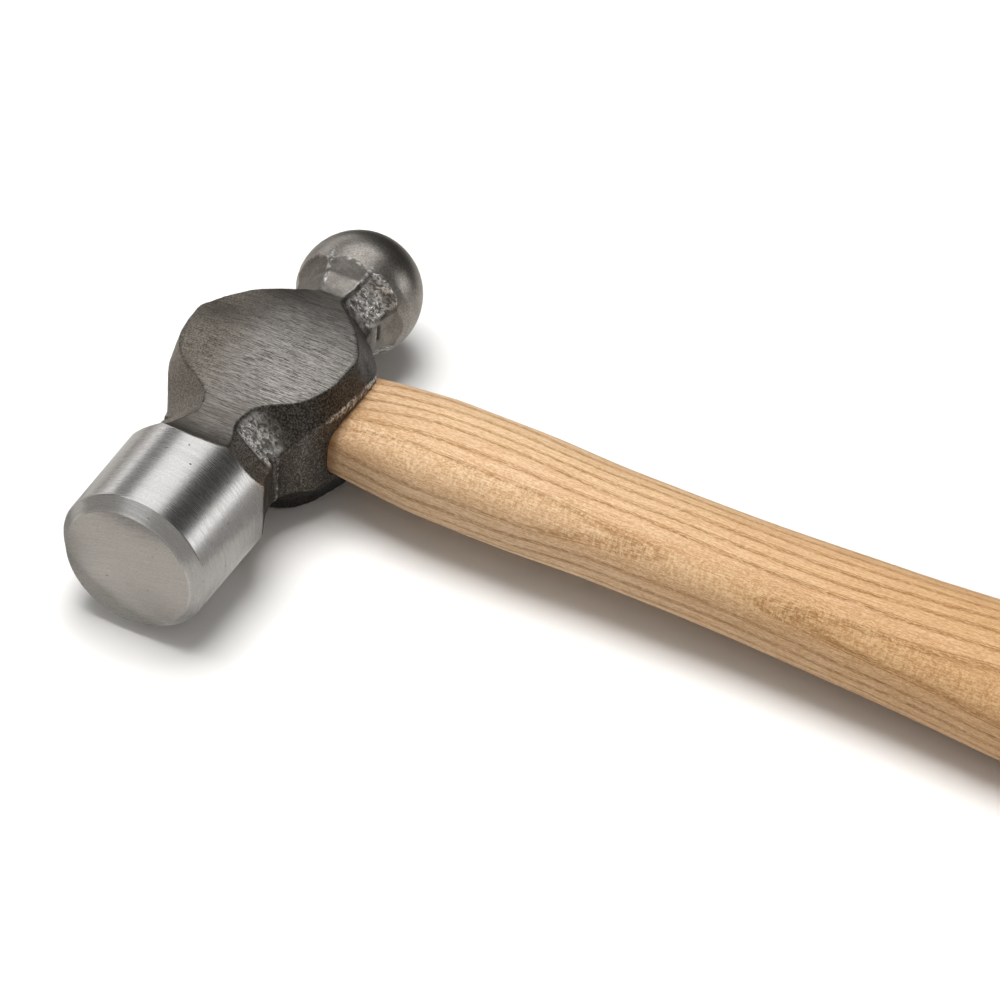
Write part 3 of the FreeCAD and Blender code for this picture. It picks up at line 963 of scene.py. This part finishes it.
def wedge_steel_finish():
    """Dull blue-grey mild steel, bright where the hammer struck it."""
    f = Finish("wedge_mild_steel", Metallic=1.0)
    scale = f.noise(0.9, detail=4, roughness=0.6)
    drawn = f.noise(0.16, 3.0, 3.0, detail=2)
    colour = f.blend(f.level(scale, 0.35, 0.65), (0.13, 0.13, 0.135, 1), (0.30, 0.295, 0.29, 1))
    struck = f.level(f.axis("X"), (TENON_END_X + 0.35) * MM, (TENON_END_X + 0.1) * MM, 0.0, 0.5)
    colour = f.blend(struck, colour, (0.46, 0.45, 0.44, 1))
    rough = f.level(scale, 0.3, 0.7, 0.55, 0.35)
    high = f.mixture((scale, 0.07), (drawn, 0.02))
    return f.show(Base_Color=colour, Roughness=rough, Normal=f.relief(high))


def paint(piece, material):
    """Give the piece this one material."""
    piece.data.materials.clear()
    piece.data.materials.append(material)


# ---------------- floor, light and camera
FLOOR_HALF_WIDTH = 4.0
FLOOR_WHITE = 0.80
MIRRORED_DROP = 0.00005  # the mirrored floor lies this far under the one that is seen
MIRRORED_COLOUR = (0.54, 0.525, 0.505, 1)
# painted glow: the mirrored floor glows this much all over, which lifts the shadows that the steel
# mirrors
MIRRORED_GLOW = 0.25
BOUNCE_COLOUR = (1.0, 0.97, 0.93, 1)
# round spots on the mirrored floor, the first two of painted shade and the last two of painted glow:
# place along and across the hammer, inner and outer radius
SHADE_BESIDE_POLL = (-0.042, -0.040, 0.014, 0.034)
SHADE_UNDER_HEAD = (0.008, 0.0, 0.014, 0.034)
GLOW_UNDER_POLL = (0.008, -0.032, 0.006, 0.013)
GLOW_UNDER_BEVEL = (-0.006, -0.047, 0.006, 0.017)


def make_floor(name, height):
    """Large sheet of paper under the hammer."""
    half = FLOOR_HALF_WIDTH
    corners = [(x, y, height) for x, y in ((-half, -half), (half, -half), (half, half), (-half, half))]
    mesh = bpy.data.meshes.new(name)
    mesh.from_pydata(corners, [], [(0, 1, 2, 3)])
    floor = in_scene(name, mesh)
    return floor


def make_floors():
    """The paper that is seen, and a greyer one under it that polished steel mirrors, because a
    sheet lit until it is pure white would glare in the metal. The mirrored one has painted shade
    behind the hammer, beside the poll and under the head, a faint painted glow all over, and a
    stronger painted glow where light bounces in under the poll."""
    seen = make_floor("floor", 0.0)
    seen.visible_glossy = False
    seen.visible_shadow = False
    f = Finish("floor_paper", Specular_IOR_Level=0.0, Roughness=1.0)
    shade = f.level(f.noise(120, detail=1), 0.3, 0.7)
    paint(seen, f.show(Base_Color=f.blend(shade, grey(FLOOR_WHITE), grey(FLOOR_WHITE * 1.02))))

    mirrored = make_floor("mirrored_floor", -MIRRORED_DROP)
    mirrored.visible_camera = False
    mirrored.visible_diffuse = False
    f = Finish("mirrored_paper", Specular_IOR_Level=0.0, Roughness=1.0)
    f.place = f.vector("SUBTRACT", f.place, HEAD_PLACE)

    def spot(place, at_centre, beyond):
        """A number that changes from a round spot's inner radius to its outer one."""
        x, y, inner, outer = place
        distance = f.vector("DISTANCE", f.place, (x, y, -HEAD_PLACE.z), "Value")
        return f.level(distance, inner, outer, at_centre, beyond)

    # painted shade in what the steel mirrors: darker behind the hammer, beside the poll and under the
    # head
    shade = f.times(f.level(f.axis("Y"), 0.060, 0.150, 1.0, 0.12), spot(SHADE_BESIDE_POLL, 0.45, 1.0))
    shade = f.times(shade, spot(SHADE_UNDER_HEAD, 0.25, 1.0))
    colour = f.blend(shade, (0, 0, 0, 1), MIRRORED_COLOUR)
    # painted glow where light bounces in under the poll and its bevel
    bounce = f.calc("MAXIMUM", spot(GLOW_UNDER_POLL, 1.0, 0.0), spot(GLOW_UNDER_BEVEL, 1.0, 0.0))
    paint(mirrored, f.show(Base_Color=colour, Emission_Color=f.blend(bounce, colour, BOUNCE_COLOUR),
                           Emission_Strength=MIRRORED_GLOW / MIRRORED_COLOUR[0]))


def add_lamp(name, direction, distance, width, length, watts, colour):
    """Soft box facing the head. It lights rough surfaces; polished ones mirror the cards below."""
    data = bpy.data.lights.new(name, "AREA")
    data.shape = "RECTANGLE"
    data.size, data.size_y = width, length
    data.energy = watts
    data.color = colour
    lamp = in_scene(name, data)
    direction = Vector(direction).normalized()
    lamp.location = HEAD_PLACE + direction * distance
    lamp.rotation_mode = "QUATERNION"
    lamp.rotation_quaternion = direction.to_track_quat("Z", "Y")
    lamp.visible_glossy = False


CARD_DISTANCE = 1.2
CARD_STEPS = 8


def add_card(name, centre_angle, half_angle, lean, half_lean, brightness, colour):
    """Glowing card curved round the head. Its angle is measured round the head's axis, and its lean
    from square to that axis towards the ball."""
    vertices = []
    for angle in np.radians(np.linspace(centre_angle - half_angle, centre_angle + half_angle,
                                        CARD_STEPS + 1)):
        for edge in np.radians([lean - half_lean, lean + half_lean]):
            direction = LAY_DOWN.to_3x3() @ Vector((
                math.cos(edge) * math.cos(angle), math.sin(edge), math.cos(edge) * math.sin(angle)))
            vertices.append(HEAD_PLACE + direction.normalized() * CARD_DISTANCE)
    faces = [(2 * i, 2 * i + 1, 2 * i + 3, 2 * i + 2) for i in range(CARD_STEPS)]
    add_glow(name, vertices, faces, brightness, colour)


def add_glow(name, vertices, faces, brightness, colour):
    """Glowing sheet that is seen only in reflections."""
    mesh = bpy.data.meshes.new(name)
    mesh.from_pydata(vertices, [], faces)
    card = in_scene(name, mesh)
    material = bpy.data.materials.new(name)
    material.use_nodes = True
    n = Nodes(material.node_tree)
    n.tree.nodes.clear()
    glow = n.make("ShaderNodeEmission", {"Color": (*colour, 1), "Strength": brightness})
    n.make("ShaderNodeOutputMaterial", {0: glow.outputs[0]})
    paint(card, material)
    card.visible_camera = False
    card.visible_diffuse = False
    card.visible_shadow = False


WORLD_BEHIND, WORLD_IN_FRONT = 0.05, 0.45
WORLD_COLOUR = (1.0, 0.97, 0.93, 1)


def make_world():
    """Studio round the table: dim behind the hammer, paler in front of it."""
    world = bpy.data.worlds.new("studio")
    world.use_nodes = True
    n = Nodes(world.node_tree)
    direction = n.make("ShaderNodeTexCoord").outputs["Generated"]
    along_y = n.make("ShaderNodeSeparateXYZ", {0: direction}).outputs["Y"]
    background = n.tree.nodes["Background"]
    n.feed(background.inputs["Color"], WORLD_COLOUR)
    n.feed(background.inputs["Strength"], n.level(along_y, 0.25, -0.25, WORLD_BEHIND, WORLD_IN_FRONT))
    bpy.context.scene.world = world


# name, direction from the head, distance, width, length, watts, colour
LAMPS = [
    ("key_softbox", (-0.15, 0.05, 1.0), 1.0, 0.60, 0.60, 12.6, (1.0, 0.99, 0.975)),
    ("ceiling_fill", (0.0, 0.0, 1.0), 2.2, 4.0, 4.0, 11.5, (1.0, 0.99, 0.98)),
]
# name, angle round the head and half its spread, lean and half its spread, brightness, colour
CARDS = [
    ("key_card", 103, 25, 22, 27, 1.9, (1, 1, 1)),
    ("front_card", 105, 20, -30, 15, 1.0, (1, 1, 1)),
    ("left_card", 139, 12, 42, 30, 0.26, (1.0, 0.985, 0.96)),
    ("left_edge_card", 161, 5, 35, 25, 2.3, (1, 1, 1)),
    ("left_low_card", 180, 12, 25, 30, 0.85, (1.0, 0.95, 0.90)),
    ("right_card", 16, 10, 34, 14, 2.3, (1, 1, 1)),
]
# a small neutral card in front of the handle keeps the wood's colour out of the poll
HANDLE_CARD = [(30, -15, -11), (110, -15, -11), (110, -15, 9), (30, -15, 9)]


def make_lights():
    """Lamps for rough surfaces, cards for polished ones, and the studio round them."""
    make_world()
    for lamp in LAMPS:
        add_lamp(*lamp)
    for card in CARDS:
        add_card(*card)
    corners = [LAY_DOWN @ (Vector(corner) * MM) for corner in HANDLE_CARD]
    add_glow("handle_card", corners, [(0, 1, 2, 3)], 0.42, (1.0, 0.97, 0.94))


# in the drawing's millimetres; the azimuth is measured from straight before the striking face
CAMERA_TARGET = (49.7, -4.4, 0.0)
CAMERA_AZIMUTH, CAMERA_ELEVATION, CAMERA_ROLL = (math.radians(a) for a in (23.39, 43.01, 5.02))
CAMERA_DISTANCE = 827.6
CAMERA_LENS = 162.0
CAMERA_SENSOR = 36.0


def make_camera():
    """Camera that looks down at the head from the striking face's side."""
    a, e = CAMERA_AZIMUTH, CAMERA_ELEVATION
    back = Vector((math.sin(a) * math.cos(e), -math.cos(a) * math.cos(e), math.sin(e)))
    level_right = Vector((math.cos(a), math.sin(a), 0))
    level_up = back.cross(level_right)
    right = level_right * math.cos(CAMERA_ROLL) + level_up * math.sin(CAMERA_ROLL)
    up = back.cross(right)
    turn = Matrix((right, up, back)).transposed().to_4x4()
    turn.translation = (Vector(CAMERA_TARGET) + back * CAMERA_DISTANCE) * MM
    data = bpy.data.cameras.new("camera")
    data.lens = CAMERA_LENS
    data.sensor_width = CAMERA_SENSOR
    data.clip_start, data.clip_end = 0.01, 30.0
    camera = in_scene("camera", data)
    camera.matrix_world = LAY_DOWN @ turn
    bpy.context.scene.camera = camera


# ---------------- the scene
ASH = (0.64, 0.445, 0.275, 1), (0.53, 0.345, 0.195, 1)
MAPLE = (0.56, 0.37, 0.22, 1), (0.44, 0.27, 0.15, 1)


def main():
    """Build, paint and hand over the pieces, then the floor, the lights and the camera."""
    bpy.context.scene.view_settings.view_transform = "Standard"
    head, handle = make_head(), make_handle()
    hardwood, steel = make_wedges()
    paint(head, head_finish())
    paint(handle, wood_finish("handle_ash", *ASH))
    paint(hardwood, wood_finish("wedge_maple", *MAPLE, shift=0.7, gloss=0.6))
    wedge_steel = wedge_steel_finish()
    for piece, node, slot in (
        (head, "head", "head_steel"), (handle, "handle", "handle_wood"),
        (hardwood, "wood_wedge", "wedge_wood"), (steel[0], "steel_wedge_a", "wedge_steel"),
        (steel[1], "steel_wedge_b", "wedge_steel"),
    ):
        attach(piece, "root")
        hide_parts(node)
    for piece in steel:
        paint(piece, wedge_steel)
    make_floors()
    make_lights()
    make_camera()


main()
